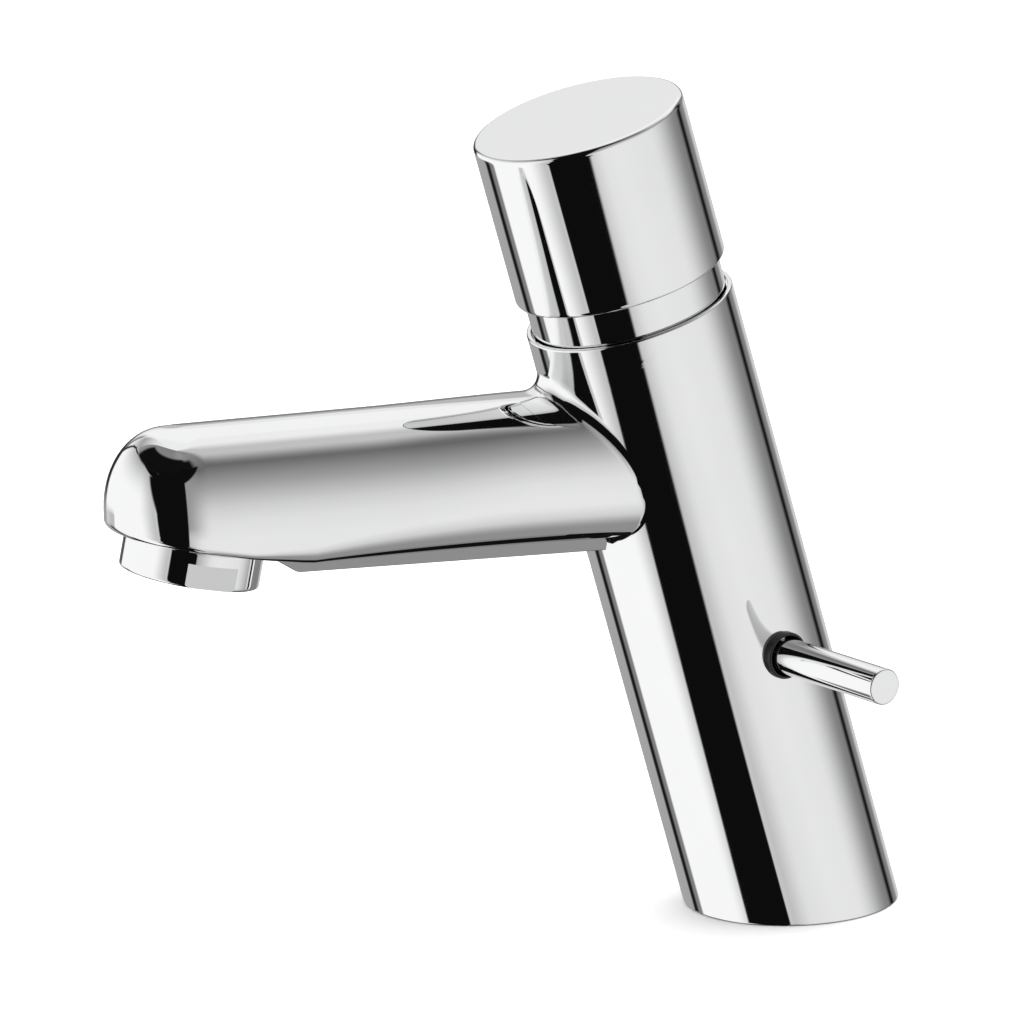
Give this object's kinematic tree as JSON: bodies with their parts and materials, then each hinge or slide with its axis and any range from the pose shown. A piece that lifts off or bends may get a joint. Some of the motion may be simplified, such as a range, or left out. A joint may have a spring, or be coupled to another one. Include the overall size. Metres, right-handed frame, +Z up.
{
  "type": "push timed tap",
  "caption": "Deck-mounted self-closing mixer tap with a leaning round body, rounded horizontal spout, broad push cap on top and a slim side lever for temperature.",
  "frame": {"origin": "centre of the base where the body axis meets the deck", "axes": "+Z up from the deck, -Y along the spout towards the user, +X towards the temperature lever"},
  "size_m": [0.0736, 0.1647, 0.1702],
  "materials": {
    "chrome": "polished mirror chrome plate",
    "steel": "plain stainless steel",
    "brass": "turned brass",
    "seal_rubber": "black rubber",
    "black_plastic": "black moulded plastic, satin",
    "white_plastic": "natural white acetal",
    "grey_plastic": "pale grey moulded plastic",
    "hot_plastic": "red moulded plastic",
    "cold_plastic": "blue moulded plastic"
  },
  "bodies": {
    "tap_body": {"body": "chrome", "base_gasket": "seal_rubber", "inlet_screens": "steel", "check_valve_hot": "hot_plastic", "check_valve_cold": "cold_plastic", "lever_bush": "black_plastic", "lever_pivot": "steel", "cartridge_housing": "white_plastic", "lower_o_ring": "seal_rubber", "upper_o_ring": "seal_rubber", "cartridge_head": "brass", "spindle_seal": "seal_rubber", "return_spring": "steel", "guide_sleeve": "chrome", "guide_ring": "white_plastic", "aerator_gasket": "seal_rubber", "aerator_screen": "steel", "aerator_insert": "grey_plastic", "aerator_housing": "chrome"},
    "push_button": {"push_cap": "chrome", "cap_insert": "white_plastic", "spindle": "steel", "timing_piston": "white_plastic", "piston_seal": "seal_rubber", "main_valve": "brass", "valve_washer": "seal_rubber"},
    "temperature_lever": {"lever": "chrome"},
    "mixing_collar": {"mixing_collar": "white_plastic"}
  },
  "joints": [
    {"name": "cap_push", "type": "slide", "parent": "tap_body", "child": "push_button", "axis": [0, 0.2588, -0.9659], "range_m": [0, 0.0055], "stiffness_N_per_m": 3000, "springref_m": -0.002, "deforming": ["return_spring"]},
    {"name": "lever_turn", "type": "hinge", "parent": "tap_body", "child": "temperature_lever", "pos_m": [0.02072, -0.01019, 0.05651], "axis": [0, -0.2588, 0.9659], "range_deg": [-15, 15]},
    {"name": "collar_turn", "type": "hinge", "parent": "tap_body", "child": "mixing_collar", "pos_m": [0, -0.01475, 0.05506], "axis": [0, -0.2588, 0.9659], "range_deg": [-14.5, 14.5]}
  ],
  "couplings": [
    {"joint": "collar_turn", "follows": "lever_turn", "ratio": -0.925}
  ]
}
